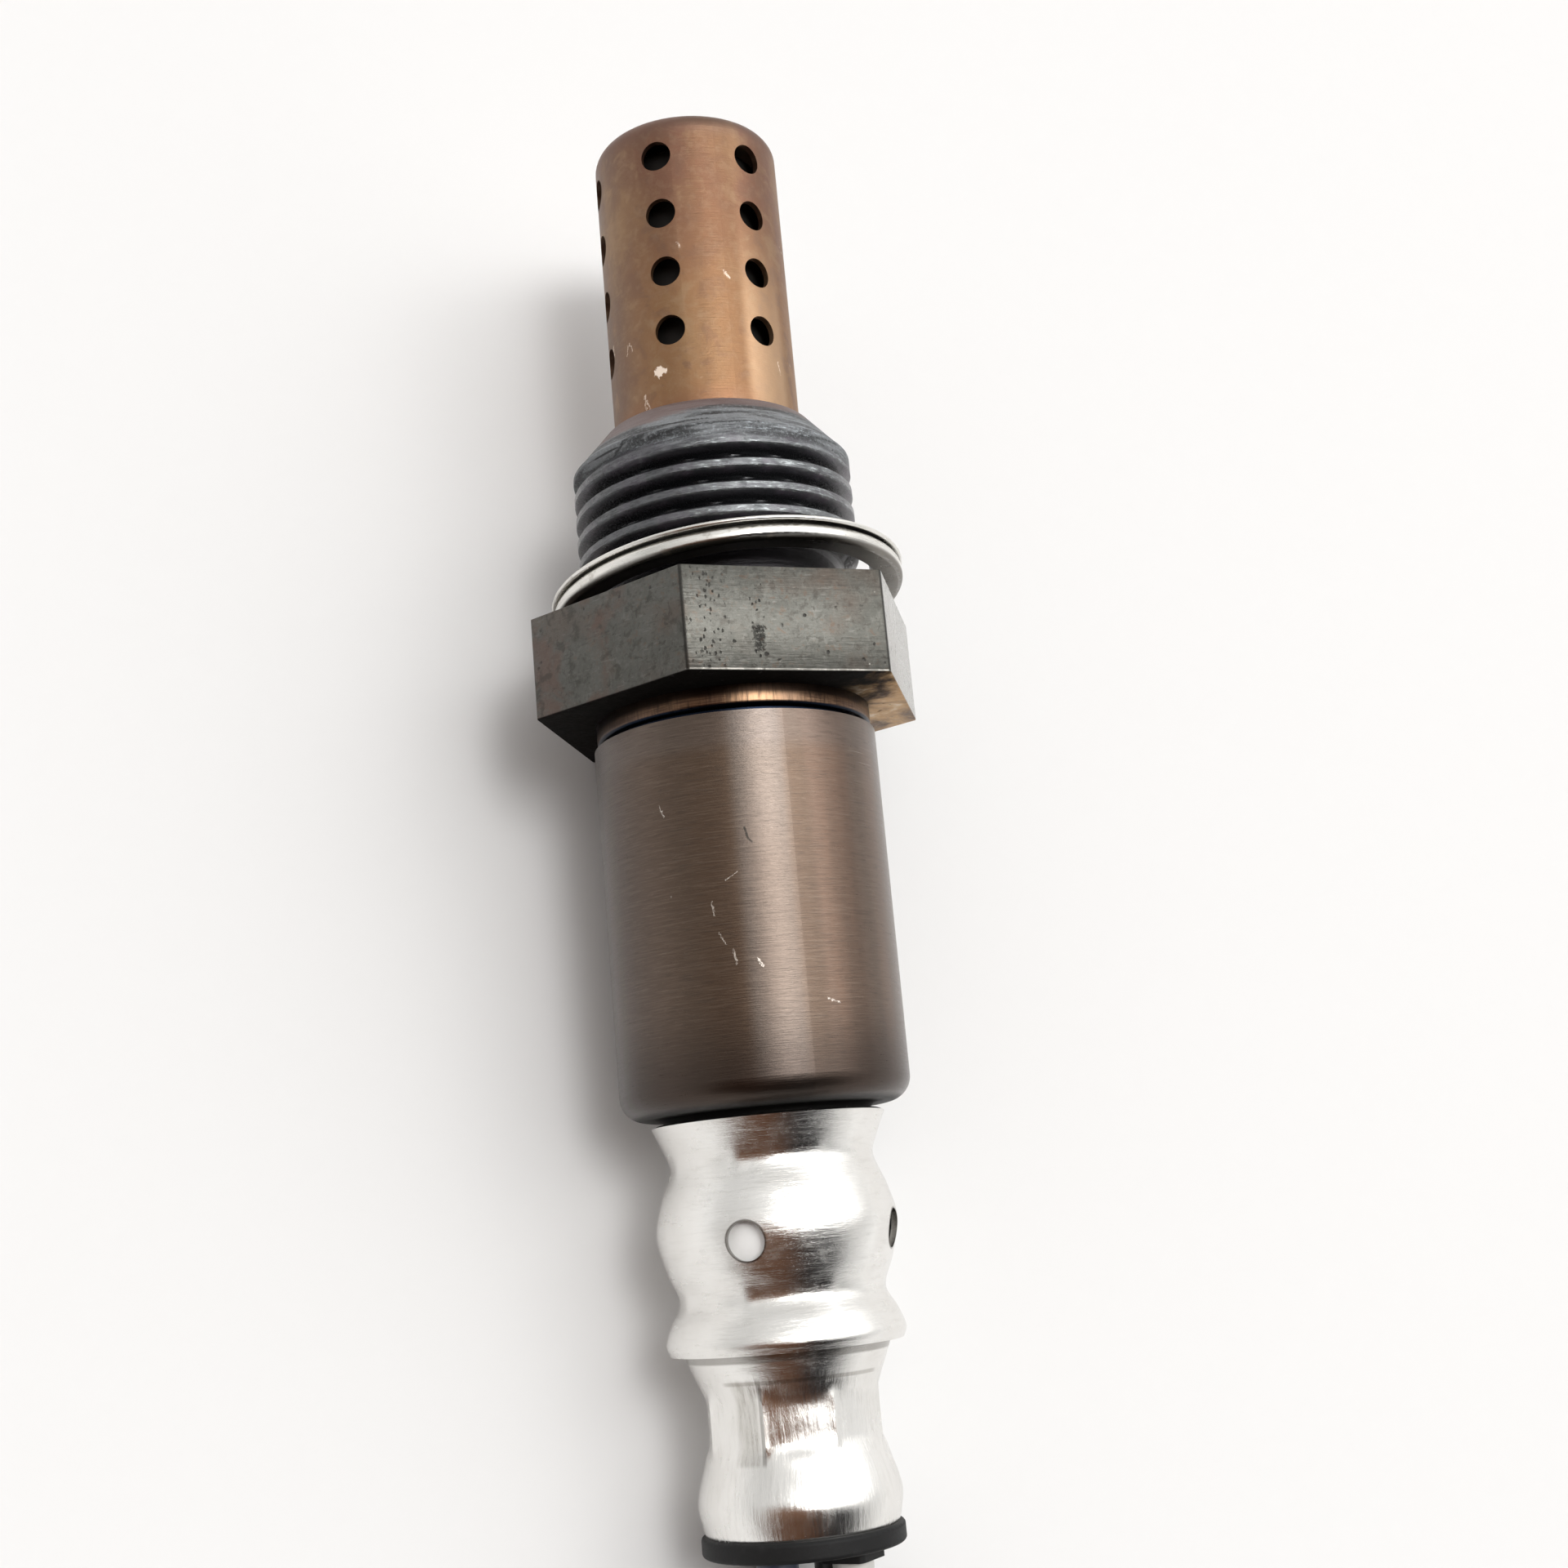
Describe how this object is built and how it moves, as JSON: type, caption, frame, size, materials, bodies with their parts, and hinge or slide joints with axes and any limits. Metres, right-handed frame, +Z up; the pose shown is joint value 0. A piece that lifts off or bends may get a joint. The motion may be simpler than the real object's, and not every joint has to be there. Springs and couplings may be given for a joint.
{
  "type": "heated oxygen sensor",
  "caption": "Screw-in exhaust gas oxygen sensor: perforated nose cover, threaded hexagon body with loose folded gasket, steel sleeve, crimped vent cover, and leads to a plug.",
  "frame": {"origin": "bottom centre of the sensor's own bounding box as it lies on its side on a flat surface, without the leads and what is on them", "axes": "+Y the way the nose points, +Z up; the sensor's axis rises 5.2 degrees from +Y towards the nose"},
  "size_m": [0.055, 0.258, 0.0228],
  "materials": {
    "housing_steel": "heat-darkened forged steel, dark grey with brown tints",
    "cover_steel": "bronze-tinted heat-tempered steel sheet, satin",
    "inner_cover_steel": "heat-tinted steel sheet, dull",
    "zirconia": "fired zirconia, matt white",
    "heater_ceramic": "fired alumina, matt",
    "packing_steel": "plain stamped steel, satin",
    "talc": "pressed talc powder, matt",
    "bush_ceramic": "fired steatite, matt",
    "contact_alloy": "nickel alloy sheet, satin",
    "gasket_steel": "heat-darkened folded steel sheet, brown, satin",
    "sleeve_steel": "brown heat-tempered steel, finely turned, satin",
    "bright_steel": "bright drawn stainless sheet, half polished",
    "filter_ptfe": "porous white fluoroplastic, matt",
    "grommet_rubber": "black heat-resistant rubber, dull",
    "lead_blue": "dark blue fluoroplastic insulation, smooth",
    "lead_white": "white fluoroplastic insulation, smooth",
    "lead_black": "black fluoroplastic insulation, smooth",
    "lead_grey": "grey fluoroplastic insulation, smooth",
    "shrink_plastic": "black heat-shrink tube, satin",
    "sleeving_braid": "black woven glass-fibre sleeving",
    "tie_nylon": "black nylon, satin",
    "boot_rubber": "black moulded rubber, dull",
    "connector_plastic": "dark grey moulded nylon, satin",
    "blade_brass": "tinned brass blades, bright",
    "wedge_plastic": "light grey moulded nylon, satin",
    "seal_rubber": "brick-red silicone rubber"
  },
  "bodies": {
    "root": {"housing": "housing_steel", "outer_cover": "cover_steel", "inner_cover": "inner_cover_steel", "sensing_element": "zirconia", "heater_rod": "heater_ceramic", "packing_washer": "packing_steel", "talc_ring": "talc", "seal_bush": "bush_ceramic", "crimp_ring": "packing_steel", "inner_contact": "contact_alloy", "outer_contact": "contact_alloy", "gasket": "gasket_steel", "sleeve": "sleeve_steel", "insulator": "bush_ceramic", "insulator_spring": "packing_steel", "signal_terminal": "contact_alloy", "ground_terminal": "contact_alloy", "heater_terminal_a": "contact_alloy", "heater_terminal_b": "contact_alloy", "rear_casing": "bright_steel", "filter_sleeve": "filter_ptfe", "filter_cover": "bright_steel", "grommet": "grommet_rubber", "lead_blue_inside": "lead_blue", "lead_white_inside": "lead_white", "lead_black_inside": "lead_black", "lead_grey_inside": "lead_grey", "lead_blue": "lead_blue", "lead_white": "lead_white", "lead_black": "lead_black", "lead_grey": "lead_grey", "sleeving_collar": "shrink_plastic", "sleeving_front": "sleeving_braid", "sleeving_back": "sleeving_braid", "sleeving_hank": "sleeving_braid", "cable_tie": "tie_nylon", "connector_boot": "boot_rubber", "connector_housing": "connector_plastic", "connector_latch": "connector_plastic", "connector_blades": "blade_brass", "connector_wedge": "wedge_plastic", "connector_seal": "seal_rubber"}
  },
  "joints": []
}
